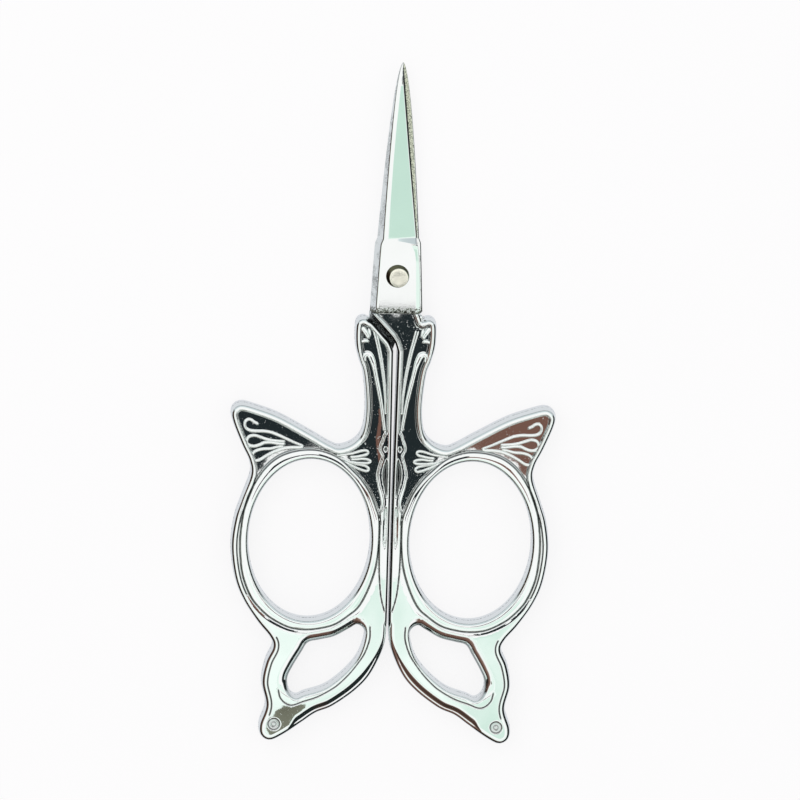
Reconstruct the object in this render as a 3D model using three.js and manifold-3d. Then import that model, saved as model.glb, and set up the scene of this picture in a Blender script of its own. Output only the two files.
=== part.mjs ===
// Small embroidery scissors, closed, lying on a table.
// Millimetres, +Z up, +Y towards the points. The origin is on the table, under the middle of the outline.
// Each half is a steel blade held in a cast handle. The second half is the first one turned over about
// the long axis, and one rivet joins them. Every outline is drawn from the rivet's axis and from the
// plane where the blades meet, on the half whose handle lies on the right.

import * as THREE from "three";
import { mergeVertices } from "three/addons/utils/BufferGeometryUtils.js";
import Module from "manifold-3d";

const wasm = await Module();
wasm.setup();

// Overall lengths, from the rivet's axis
const pointReach = 27.95;
const tailReach = 62.05;

// Blade
const bladeThickness = 1.3;
const pointThickness = 0.3;
const edgeThickness = 0.12;
const bladeSlope = 30;
const edgeReach = 2.44;
const spineReach = 2.72;
const spineBow = 0.575;
const grindStart = 5.2;
const ricassoTop = 4.4;
const ricassoEdgeTop = 2.45;
const ricassoEdgeWidth = 2.95;
const ricassoSpineWidth = 3.2;
const ricassoLength = 4.95;
const grindWidth = 3.85;

// Tang, the thin end of the blade inside the handle
const tangThickness = 0.8;
const tangWidth = 1.7;
const tangEnd = 15;
const tangMiddle = 1.95;
const tangHoleRadius = 0.5;
const tangClearance = 0.05;

// Gap between the two halves
const bladeGap = 0.1;
const slitGap = 0.2;
const slitTopGap = 0.52;

// Rivet
const pinRadius = 0.9;
const pinClearance = 0.05;
const headRadius = 1.45;
const headTopRadius = 1.2;
const headHeight = 0.45;

// Handle
const handleThickness = 3.7;
const edgeRound = 0.4;
const edgeRoundHeight = 0.75;
const rimWidth = 0.42;
const ribDrop = 0.1;
const ribWidth = 0.26;
const fieldFloor = bladeGap / 2 + bladeThickness;

// Finger ring
const holeHalfWidth = 7.9;
const holeHalfLength = 10.7;
const ringDrop = 35.2;
const innerWall = 2.45;
const outerWall = 2.25;
const beadWidth = 0.55;
const grooveWidth = 0.2;
const grooveDepth = 0.2;
const channelWidth = 0.7;

// Wing petals and the eye on the tail
const petalRadius = 0.6;
const budRadius = 0.42;
const eyeRadius = 0.8;
const eyeDotRadius = 0.5;

// Wing and neck, measured up from the middle of the ring, and shoulder, down from the rivet
const wingReach = 21.0;
const wingRise = 16.8;
const neckWidth = 3.7;
const neckRise = 17.9;
const shoulderWidth = 5.25;
const shoulderDrop = 7.8;

const halfThickness = handleThickness / 2;
const slitHalf = slitGap / 2;
const ringX = slitHalf + innerWall + holeHalfWidth;
const ringTop = -ringDrop + holeHalfLength;
const ringBottom = -ringDrop - holeHalfLength;
const ringOuter = ringX + holeHalfWidth + outerWall;

const wingDrop = ringDrop - wingRise;
const neckDrop = ringDrop - neckRise;

const v = (x, y) => new THREE.Vector2(x, y);

// Solid of a closed three.js geometry, ready to be joined or cut
function solidOf(geometry) {
  geometry.deleteAttribute("normal");
  geometry.deleteAttribute("uv");
  const merged = mergeVertices(geometry, 1e-6);
  return new wasm.Manifold(
    new wasm.Mesh({
      numProp: 3,
      vertProperties: merged.attributes.position.array,
      triVerts: new Uint32Array(merged.index.array),
    }),
  );
}

function geometryOf(solid) {
  const mesh = solid.getMesh();
  const geometry = new THREE.BufferGeometry();
  geometry.setAttribute("position", new THREE.BufferAttribute(mesh.vertProperties, 3));
  geometry.setIndex(new THREE.BufferAttribute(mesh.triVerts, 1));
  const flat = geometry.toNonIndexed();
  flat.computeVertexNormals();
  return flat;
}

// Flat plate between two heights, its edges rounded over by round mm where that is given,
// and its outline drawn in by inset mm
function plate(outline, holes, bottom, top, { round = 0, roundHeight = round, inset = 0 } = {}) {
  const shape = new THREE.Shape(outline);
  shape.holes = holes.map((points) => new THREE.Path(points));
  const bevelled = round > 0 || inset > 0;
  const geometry = new THREE.ExtrudeGeometry(shape, {
    depth: top - bottom - 2 * roundHeight,
    bevelEnabled: bevelled,
    bevelThickness: roundHeight,
    bevelSize: round,
    bevelOffset: -round - inset,
    bevelSegments: round > 0 ? 2 : 1,
  });
  geometry.translate(0, 0, bottom + roundHeight);
  return solidOf(geometry);
}

const spline = (points, steps) => new THREE.SplineCurve(points).getPoints(steps * (points.length - 1));

function ellipse(x, y, halfWidth, halfLength, steps) {
  const curve = new THREE.EllipseCurve(x, y, halfWidth, halfLength, 0, 2 * Math.PI);
  return curve.getPoints(steps).slice(0, -1);
}

// Box whose lower face passes through point and faces down along -normal: it cuts away what lies above
function cutAbove(point, normal, size = 80) {
  const box = new THREE.BoxGeometry(size, size, size);
  box.translate(0, 0, size / 2);
  const turn = new THREE.Quaternion().setFromUnitVectors(new THREE.Vector3(0, 0, 1), normal.clone().normalize());
  box.applyQuaternion(turn);
  box.translate(point.x, point.y, point.z);
  return solidOf(box);
}


const spread = (sine) => Math.sqrt(Math.max(0, 1 - sine * sine));

// Places on the handle, each measured from the feature that it belongs to
const tailLength = tailReach + ringBottom;
const onTail = (x, share) => v(ringX + x, ringBottom - tailLength * share);
const aboveRing = (x, y) => v(ringX + x, ringTop + y);
const onWing = (x, y) => v(wingReach + x, -wingDrop + y);
const upNeck = (x, share) => v(neckWidth + x, -neckDrop + (neckDrop - shoulderDrop) * share);
const onShoulder = (x, y) => v(shoulderWidth + x, -shoulderDrop + y);
const belowBlade = (x, y) => v(x, -ricassoLength - y);

// Outer edge of the ring, an ellipse a little longer than the finger hole
function onRing(y) {
  const halfLength = holeHalfLength + outerWall;
  return v(ringX + (holeHalfWidth + outerWall) * spread((y + 0.8) / halfLength), -ringDrop + y);
}

// The handle's outline, from the foot of the parting edge round to the shoulder
const tailLower = [
  onTail(-10.05, 0.21),
  onTail(-8.5, 0.433),
  onTail(-6.55, 0.576),
  onTail(-3.6, 0.712),
  onTail(-1.45, 0.77),
  onTail(0.4, 0.852),
  onTail(2.95, 0.96),
];
const tailEnd = [onTail(4.5, 1), onTail(5.65, 0.96), onTail(5.85, 0.867)];
const tailSide = [
  onTail(5.1, 0.706),
  onTail(5.7, 0.52),
  onTail(5.25, 0.35),
  onTail(4.4, 0.223),
  onTail(4.85, 0.14),
  onTail(6.45, 0.02),
];
const ringSide = [onRing(-8.1), onRing(-5.1), onRing(-1), onRing(2.6), onRing(5.2)];
const wingBack = [aboveRing(7.9, -2.2), aboveRing(8.1, -0.3), onWing(-1.45, -4.3), onWing(-0.25, -1.4)];
const wingTip = [onWing(0, 0), onWing(-0.5, 0.8), onWing(-1.45, 1.1)];
const wingTop = [onWing(-3.4, 0.6), onWing(-6.4, -0.5), aboveRing(0.25, 3.5), aboveRing(-2.4, 2)];
const neckSide = [
  aboveRing(-3.7, 1.65),
  aboveRing(-5.4, 2.4),
  upNeck(0.3, -0.337),
  upNeck(0, 0),
  upNeck(0.4, 0.442),
  upNeck(1, 0.642),
];
const shoulder = [onShoulder(-0.05, -1.3), onShoulder(-0.02, 1.2), onShoulder(-0.45, 2), onShoulder(-1.15, 2.2)];

// Parting edge along the slit, and the two edges that cross at the neck: the lower layer stops short
// along the notch, and the upper layer reaches over the other handle as a tongue
const slitTop = belowBlade(slitTopGap / 2, 5);
const slitFoot = v(slitHalf, ringBottom - 0.4);
const slitEdge = [v(slitHalf, ringTop - 4), slitFoot];
const notchEdge = [belowBlade(3.3, 1), belowBlade(2.9, 1.4), belowBlade(1.65, 2.8), belowBlade(0.75, 3.85)];
const tongueEdge = [belowBlade(-3.35, 0.05), belowBlade(-0.55, 3.15), belowBlade(-0.1, 3.85)];
const downSlit = (x, share) => v(x, slitTop.y + (ringTop - slitTop.y) * share);

const outerEdge = [
  ...tailLower,
  ...tailEnd,
  ...tailSide,
  ...ringSide,
  ...wingBack,
  ...wingTip,
  ...wingTop,
  ...neckSide,
  ...shoulder,
];

const windowEdge = [
  onTail(-7.5, 0.1),
  onTail(-6.85, 0.272),
  onTail(-5.25, 0.415),
  onTail(-2.65, 0.551),
  onTail(0.1, 0.613),
  onTail(1.2, 0.64),
  onTail(2.1, 0.59),
  onTail(2.35, 0.49),
  onTail(1.75, 0.396),
  onTail(0.6, 0.27),
  onTail(-0.2, 0.192),
  onTail(-1.65, 0.167),
  onTail(-3.6, 0.136),
  onTail(-5.55, 0.068),
  onTail(-6.6, 0.036),
];

// Points moved sideways, to the left of the way they run, by a distance
function moved(points, distance) {
  return points.map((point, i) => {
    const before = points[Math.max(0, i - 1)];
    const after = points[Math.min(points.length - 1, i + 1)];
    const along = after.clone().sub(before).normalize();
    return v(point.x - along.y * distance, point.y + along.x * distance);
  });
}

const fingerHole = (extra = 0, steps = 44) =>
  ellipse(ringX, -ringDrop, holeHalfWidth + extra, holeHalfLength + extra, steps);

const closedSpline = (points, steps) => {
  const curve = new THREE.SplineCurve([points.at(-1), ...points, points[0], points[1]]);
  const all = curve.getPoints(steps * (points.length + 2));
  return all.slice(steps, steps * (points.length + 1));
};

// Thin raised rib along a curve
function rib(points, width, steps, bottom, top) {
  const middle = spline(points, steps);
  const outline = [...moved(middle, -width / 2), ...moved(middle, width / 2).reverse()];
  return plate(outline, [], bottom, top);
}

// Outline of a drop: a point at the root and a round end
function drop(root, end, radius, steps) {
  const axis = end.clone().sub(root);
  const open = Math.acos(radius / axis.length());
  const turn = axis.angle() + Math.PI;
  const points = [root];
  for (let i = 0; i <= steps; i++) {
    const angle = turn + open + ((2 * Math.PI - 2 * open) * i) / steps;
    points.push(v(end.x + radius * Math.cos(angle), end.y + radius * Math.sin(angle)));
  }
  return points;
}


const rimInset = edgeRound + rimWidth;
const beadEdge = edgeRound + beadWidth;
const above = halfThickness + 1;

function join(solids) {
  return solids.reduce((whole, solid) => whole.add(solid));
}

// Turned over about the long axis: a shape of the upper face becomes the same shape of the lower face,
// so it is mirrored in height only
function onBothFaces(solid) {
  return solid.add(solid.mirror([0, 0, 1]));
}

// Solid through a row of sections, each a ring of the same number of corners
function loft(sections) {
  const count = sections[0].length;
  const faces = [];
  for (let s = 0; s < sections.length - 1; s++)
    for (let i = 0; i < count; i++) {
      const j = (i + 1) % count;
      faces.push(sections[s][i], sections[s][j], sections[s + 1][j]);
      faces.push(sections[s][i], sections[s + 1][j], sections[s + 1][i]);
    }
  const last = sections.at(-1);
  for (let i = 1; i < count - 1; i++) {
    faces.push(sections[0][0], sections[0][i + 1], sections[0][i]);
    faces.push(last[0], last[i], last[i + 1]);
  }
  return solidOf(new THREE.BufferGeometry().setFromPoints(faces));
}

// Steel blade, from its point down to the end of the tang that the handle grips
function blade() {
  const bottom = bladeGap / 2;
  const top = bottom + bladeThickness;
  const shoulderY = -ricassoLength;

  // Across the blade: flat inside, both sides sloping in towards the outer face
  function section(y, spineX, edgeX) {
    const share = Math.max(0, (y - grindStart) / (pointReach - grindStart));
    const height = bladeThickness - (bladeThickness - pointThickness) * share;
    const lean = Math.min(height * Math.tan(THREE.MathUtils.degToRad(bladeSlope)), 0.4 * (edgeX - spineX));
    return [
      new THREE.Vector3(spineX, y, bottom),
      new THREE.Vector3(spineX + lean, y, bottom + height),
      new THREE.Vector3(edgeX - lean, y, bottom + height),
      new THREE.Vector3(edgeX, y, bottom),
    ];
  }

  // The spine bows out and the cutting edge is straight
  const sections = [
    section(shoulderY, -ricassoSpineWidth - 0.2, ricassoEdgeWidth + 0.1),
    section(-0.5, -ricassoSpineWidth, ricassoEdgeWidth),
    section(ricassoTop - 1.2, -ricassoSpineWidth + 0.18, ricassoEdgeTop + 0.2),
    section(ricassoTop - 0.15, -spineReach - 0.2, ricassoEdgeTop + 0.05),
  ];
  const steps = 10;
  for (let i = 0; i <= steps; i++) {
    const share = Math.max(0.0005, 1 - i / steps) ** 1.5;
    const y = pointReach - (pointReach - ricassoTop) * share;
    sections.push(section(y, -spineReach * share ** spineBow, edgeReach * share + 0.03));
  }
  let steel = loft(sections);

  // Ground bevel, a plane through the cutting edge that ends in a steep step at the ricasso
  const heel = new THREE.Vector3(edgeReach, ricassoTop, bottom + edgeThickness);
  const point = new THREE.Vector3(0, pointReach, bottom + edgeThickness);
  const land = new THREE.Vector3(edgeReach - grindWidth, grindStart, top);
  const grindNormal = point.clone().sub(heel).cross(land.clone().sub(heel));
  const grind = cutAbove(heel, grindNormal);
  const step = cutAbove(new THREE.Vector3(0, grindStart - 0.3, top), new THREE.Vector3(-0.06, 1, 0.55));
  steel = steel.subtract(grind.intersect(step));

  const tangLeft = tangMiddle - tangWidth / 2;
  const tangRight = tangMiddle + tangWidth / 2;
  const tang = plate(
    [v(tangLeft, shoulderY + 0.5), v(tangLeft, -tangEnd), v(tangRight, -tangEnd), v(tangRight, shoulderY + 0.5)],
    [ellipse(tangMiddle, -tangEnd + 2.5, tangHoleRadius, tangHoleRadius, 16)],
    bottom,
    bottom + tangThickness,
  );
  const pinHole = plate(ellipse(0, 0, pinRadius + pinClearance, pinRadius + pinClearance, 32), [], -1, top + 1);
  return steel.add(tang).subtract(pinHole);
}

// Room for the tang, with a post of casting metal through its hole
function tangPocket() {
  const left = tangMiddle - tangWidth / 2 - tangClearance;
  const right = tangMiddle + tangWidth / 2 + tangClearance;
  const end = -tangEnd - tangClearance;
  const post = tangHoleRadius - tangClearance;
  return plate(
    [v(left, 0), v(left, end), v(right, end), v(right, 0)],
    [ellipse(tangMiddle, -tangEnd + 2.5, post, post, 16)],
    bladeGap / 2 - tangClearance,
    bladeGap / 2 + tangThickness + tangClearance,
  );
}

// Sunk field between the rims of the neck and the wing, open to the side of the ring's bead
function field(leftEdge) {
  const outline = [
    ...leftEdge,
    v(slitHalf + rimInset, ringTop - 7),
    v(ringX, -ringDrop),
    ...moved(spline([onRing(2.6), onRing(5.2), ...wingBack], 2), rimInset),
    onWing(-1.3, -0.3),
    ...moved(spline([...wingTop, ...neckSide, shoulder[0]], 2), rimInset),
    onShoulder(-0.85, 1),
    onShoulder(-1.2, 1.35),
  ];
  const cut = plate(outline, [], fieldFloor, above);
  return cut.subtract(plate(fingerHole(beadEdge), [], fieldFloor - 1, above + 1));
}

// Raised drawing in the fields: three petals on the wing, three buds at its root, and the ribs of the neck.
// The first rib runs up to the blade on the upper layer and stops below the notch on the lower one.
function relief(neckRibTop) {
  const top = halfThickness - ribDrop;
  const low = fieldFloor - 0.2;
  const petalRoot = aboveRing(1.05, 1.8);
  const petals = [onWing(-2.25, -1.4), onWing(-2.65, -3.5), onWing(-3.3, -5.6)].map((end) => {
    const inner = drop(petalRoot.clone().lerp(end, 0.45), end, petalRadius - ribWidth, 8);
    return plate(drop(petalRoot, end, petalRadius, 10), [inner], low, top);
  });
  const budRoot = aboveRing(-3.2, 0.6);
  const buds = [aboveRing(-7, 0.95), aboveRing(-7.35, -0.15), aboveRing(-7.1, -1.2)].map((end) =>
    plate(drop(budRoot, end, budRadius, 8), [], low, top),
  );
  const neckRib = [
    ...neckRibTop,
    downSlit(2.05, -0.024),
    downSlit(1.6, 0.141),
    downSlit(1.3, 0.306),
    downSlit(1.15, 0.485),
  ];
  const hookRib = [
    downSlit(4.0, 0.072),
    downSlit(3.65, 0.014),
    downSlit(3.1, 0.045),
    downSlit(2.55, 0.168),
    downSlit(1.95, 0.368),
    downSlit(1.3, 0.718),
  ];
  const ribs = [rib(neckRib, 1.6 * ribWidth, 3, low, top), rib(hookRib, 1.8 * ribWidth, 3, low, top)];
  const roots = [petalRoot, budRoot].map((root) => plate(ellipse(root.x, root.y, ribWidth, ribWidth, 10), [], low, top));
  return join([...petals, ...buds, ...roots, ...ribs]);
}

// Grooves cut into a face: round the ring's bead, along the tail, and round the eye at its end
function grooves() {
  const bottom = halfThickness - grooveDepth;
  const bead = plate(fingerHole(beadEdge + grooveWidth), [fingerHole(beadEdge)], bottom, above);
  const channelMiddle = [
    onTail(-9.1, 0.12),
    onTail(-8.55, 0.24),
    onTail(-7.5, 0.4),
    onTail(-5.75, 0.53),
    onTail(-3, 0.66),
    onTail(-0.6, 0.73),
    onTail(2.4, 0.86),
  ];
  const channel = rib(channelMiddle, channelWidth, 3, bottom, above);
  const eye = onTail(3.9, 0.848);
  const eyeRing = plate(
    ellipse(eye.x, eye.y, eyeRadius, eyeRadius, 20),
    [ellipse(eye.x, eye.y, eyeDotRadius, eyeDotRadius, 16)],
    bottom,
    above,
  );
  return join([bead, channel, eyeRing]);
}

// Cast handle: a full-height body that stops along the notch, and the tongue of the upper layer that
// carries the blade across the other handle
function handle() {
  const outer = spline([slitFoot, ...outerEdge], 3);
  const outline = [...outer, ...notchEdge, slitTop, slitEdge[0]];
  const windowOutline = closedSpline(windowEdge, 2);
  const edges = { round: edgeRound, roundHeight: edgeRoundHeight };
  const body = plate(outline, [fingerHole(), windowOutline], -halfThickness, halfThickness, edges);

  const tongueOutline = [
    ...tongueEdge,
    slitTop,
    belowBlade(1.5, 5.65),
    belowBlade(3.1, 4.05),
    belowBlade(3.7, 1.65),
    belowBlade(3.1, 0.05),
  ];
  const upperHalf = cutAbove(new THREE.Vector3(0, 0, bladeGap / 2), new THREE.Vector3(0, 0, 1));
  const tongue = plate(tongueOutline, [], -halfThickness, halfThickness, edges).intersect(upperHalf);

  const upperLeft = [belowBlade(-1.9, -1.45), ...moved([...tongueEdge.slice(1), slitTop, slitEdge[0]], rimInset)];
  const lowerLeft = moved([...notchEdge.slice(1), slitTop, slitEdge[0]], rimInset);
  const upperField = field([belowBlade(2.6, -1.45), ...upperLeft]);
  const lowerField = field(lowerLeft).mirror([0, 0, 1]);

  return body
    .add(tongue)
    .subtract(upperField)
    .subtract(lowerField)
    .subtract(onBothFaces(grooves()))
    .add(relief([belowBlade(2.75, 0.55), belowBlade(2.9, 1.45), belowBlade(2.5, 2.85)]))
    .add(relief([belowBlade(2.35, 3.75)]).mirror([0, 0, 1]))
    .subtract(tangPocket());
}

// Rivet with a raised flat-topped head on each side
function rivet() {
  const under = bladeGap / 2 + bladeThickness + pinClearance;
  const profile = [
    v(0, -under - headHeight),
    v(headTopRadius, -under - headHeight),
    v(headRadius, -under),
    v(pinRadius, -under),
    v(pinRadius, under),
    v(headRadius, under),
    v(headTopRadius, under + headHeight),
    v(0, under + headHeight),
  ];
  const geometry = new THREE.LatheGeometry(profile, 32);
  geometry.rotateX(Math.PI / 2);
  return solidOf(geometry);
}

const finishes = {
  steel: { color: 0xd5dedb, roughness: 0.16, metalness: 1 },
  chrome: { color: 0xc9d3cf, roughness: 0.08, metalness: 1 },
  rivet: { color: 0xe3e0c2, roughness: 0.3, metalness: 1 },
};

function part(name, solid, finish) {
  const mesh = new THREE.Mesh(geometryOf(solid), new THREE.MeshStandardMaterial(finishes[finish]));
  mesh.name = name;
  return mesh;
}

const bladeSolid = blade();
const handleSolid = handle();

const upperHalf = new THREE.Group();
upperHalf.add(part("front_blade", bladeSolid, "steel"));
upperHalf.add(part("right_handle", handleSolid, "chrome"));

const lowerHalf = new THREE.Group();
lowerHalf.add(part("back_blade", bladeSolid, "steel"));
lowerHalf.add(part("left_handle", handleSolid, "chrome"));
lowerHalf.rotation.y = Math.PI;

const scissors = new THREE.Group();
scissors.add(upperHalf, lowerHalf, part("pivot_rivet", rivet(), "rivet"));
scissors.position.set(0, (tailReach - pointReach) / 2, halfThickness);

export default scissors;
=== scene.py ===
# Embroidery scissors in cast chrome and ground steel, closed, lying on a white table.
# Lengths in the dictionaries are millimetres, from the rivet's axis and the plane where the blades meet,
# for the half whose handle lies on the right. The other half is the same one turned over.
import bpy, math
import numpy as np
from mathutils import Matrix, Vector, geometry, kdtree


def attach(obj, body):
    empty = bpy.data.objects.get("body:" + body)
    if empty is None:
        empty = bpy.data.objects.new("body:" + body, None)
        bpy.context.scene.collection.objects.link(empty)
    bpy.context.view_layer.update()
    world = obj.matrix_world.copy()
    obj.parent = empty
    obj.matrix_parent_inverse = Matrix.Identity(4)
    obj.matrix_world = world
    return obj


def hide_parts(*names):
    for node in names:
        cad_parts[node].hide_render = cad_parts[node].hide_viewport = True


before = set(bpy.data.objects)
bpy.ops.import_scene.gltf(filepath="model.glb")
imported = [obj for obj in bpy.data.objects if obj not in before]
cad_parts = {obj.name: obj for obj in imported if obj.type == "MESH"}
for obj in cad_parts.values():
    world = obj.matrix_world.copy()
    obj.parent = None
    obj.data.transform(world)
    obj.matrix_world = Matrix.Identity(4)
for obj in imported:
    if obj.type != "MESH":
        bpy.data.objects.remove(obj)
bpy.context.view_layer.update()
scene = bpy.context.scene
mm = 0.001
rivetPlace = np.array((0, 17.05, 1.85))
print("frame loaded:", ", ".join(sorted(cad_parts)))

view = {
    "rivetPixel": (397.6, 276.15),
    "pixelsPerMm": 7.748,
    "imageSize": 800,
    "tiltForward": 13.15,
    "tiltLeft": 3.0,
    "roll": 1.65,
    "distance": 2500,
    "rivetTop": 1.35,  # above the rivet's middle
    "sensorWidth": 36,
    "clip": (0.01, 10),  # metres
}


def cameraSetup():
    lean = Vector((-math.tan(math.radians(view["tiltLeft"])), math.tan(math.radians(view["tiltForward"])), 1))
    toCamera = lean.normalized()
    right = Vector((0, 1, 0)).cross(toCamera).normalized()
    up = toCamera.cross(right)
    roll = math.radians(view["roll"])
    right, up = right * math.cos(roll) + up * math.sin(roll), up * math.cos(roll) - right * math.sin(roll)
    half = view["imageSize"] / 2
    aside = (view["rivetPixel"][0] - half) / view["pixelsPerMm"]
    above = (half - view["rivetPixel"][1]) / view["pixelsPerMm"]
    rivetTop = Vector(rivetPlace) + Vector((0, 0, view["rivetTop"]))
    place = rivetTop - right * aside - up * above + toCamera * view["distance"]
    data = bpy.data.cameras.new("camera")
    data.sensor_width = view["sensorWidth"]
    data.lens = view["sensorWidth"] * view["distance"] * view["pixelsPerMm"] / view["imageSize"]
    data.clip_start, data.clip_end = view["clip"]
    camera = bpy.data.objects.new("camera", data)
    scene.collection.objects.link(camera)
    turn = Matrix((right, up, toCamera)).transposed().to_4x4()
    camera.matrix_world = Matrix.Translation(place * mm) @ turn
    scene.camera = camera
    return np.array(place)


cameraPlace = cameraSetup()
print("camera stands at", cameraPlace.round(1), "mm")


# Smooth curve through points, and the same number of steps between each two
def splineThrough(points, steps=10, closed=False):
    p = np.array(points, float)
    n = len(p)
    t = (np.arange(steps) / steps)[:, None]
    out = []
    for i in range(n if closed else n - 1):
        a, b, c, d = (p[(i + k) % n] if closed else p[min(max(i + k, 0), n - 1)] for k in (-1, 0, 1, 2))
        out.append(b + 0.5 * t * (c - a + t * (2 * a - 5 * b + 4 * c - d + t * (3 * (b - c) + d - a))))
    if not closed:
        out.append(p[-1:])
    return np.concatenate(out)


def evenly(points, gap, closed=False):
    p = np.vstack([points, points[:1]]) if closed else np.array(points, float)
    along = np.concatenate([[0], np.cumsum(np.hypot(*np.diff(p, axis=0).T))])
    at = np.linspace(0, along[-1], max(2, int(round(along[-1] / gap)) + 1))
    out = np.column_stack([np.interp(at, along, p[:, k]) for k in (0, 1)])
    return out[:-1] if closed else out


# Straight runs between corners that stay sharp
def cornered(points, gap):
    runs = [evenly([a, b], gap)[:-1] for a, b in zip(points, points[1:])]
    return np.vstack([*runs, [points[-1]]])


# Points moved to the left of the way they run
def sideways(points, distance, closed=False):
    p = np.array(points, float)
    d = np.roll(p, -1, 0) - np.roll(p, 1, 0) if closed else np.gradient(p, axis=0)
    d /= np.maximum(np.hypot(*d.T), 1e-9)[:, None]
    return p + np.column_stack([-d[:, 1], d[:, 0]]) * distance


def ringOf(centre, radius, count=40, way=1):
    turn = way * np.linspace(0, 2 * np.pi, count + 1)[:-1]
    return np.array(centre) + np.array(radius) * np.column_stack([np.cos(turn), np.sin(turn)])


def treeOf(points):
    tree = kdtree.KDTree(len(points))
    for i, (x, y) in enumerate(points):
        tree.insert((x, y, 0), i)
    tree.balance()
    return tree


def apart(points, tree):
    return np.fromiter((tree.find((x, y, 0))[2] for x, y in points), float, len(points))


# Gives a function that measures how far points lie from a curve, and at what share of its length
def nearTo(points, closed=False, gap=0.06):
    p = evenly(points, gap, closed)
    n = len(p)
    tree = treeOf(p)

    def measure(at):
        index = np.fromiter((tree.find((x, y, 0))[1] for x, y in at), int, len(at))
        best, share = np.full(len(at), 1e9), np.zeros(len(at))
        for shift in (-1, 0):
            i = (index + shift) % n if closed else np.clip(index + shift, 0, n - 2)
            a, ab = p[i], p[(i + 1) % n] - p[i]
            t = np.clip(((at - a) * ab).sum(1) / np.maximum((ab * ab).sum(1), 1e-12), 0, 1)
            d = np.hypot(*(at - a - ab * t[:, None]).T)
            nearer = d < best
            best[nearer], share[nearer] = d[nearer], ((i + t) / n)[nearer]
        return best, share

    return measure


def inside(at, loop):
    result = np.zeros(len(at), bool)
    x, y = at[:, 0], at[:, 1]
    for (ax, ay), (bx, by) in zip(loop, np.roll(loop, -1, 0)):
        if ay != by:
            result ^= ((ay > y) != (by > y)) & (x < (bx - ax) * (y - ay) / (by - ay) + ax)
    return result


# Depth inside a closed loop: positive inside, negative outside
def within(at, loop, measure):
    return np.where(inside(at, loop), 1, -1) * measure(at)[0]


def soft(t):
    t = np.clip(t, 0, 1)
    return t * t * (3 - 2 * t)


# From 0 to 1 past a start, and from 1 to 0 before an end
def rise(value, start, over):
    return soft((value - start) / over)


def fade(value, end, over):
    return soft((end - value) / over)


def meshObject(name, verts, faces, material, smooth=True, marks=None, edges=()):
    mesh = bpy.data.meshes.new(name)
    mesh.from_pydata([tuple(p) for p in verts], edges, [tuple(int(i) for i in f) for f in faces])
    for mark, values in (marks or {}).items():
        mesh.attributes.new(mark, "FLOAT", "POINT").data.foreach_set("value", list(values))
    if material:
        mesh.materials.append(material)
    mesh.polygons.foreach_set("use_smooth", [smooth] * len(mesh.polygons))
    mesh.update()
    piece = bpy.data.objects.new(name, mesh)
    scene.collection.objects.link(piece)
    return piece


# From the rivet's axis in millimetres to the frame in metres, for either half
def placed(points, turned):
    p = np.array(points, float)
    if turned:
        p = p * (-1, 1, -1)
    return (p + rivetPlace) * mm


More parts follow.
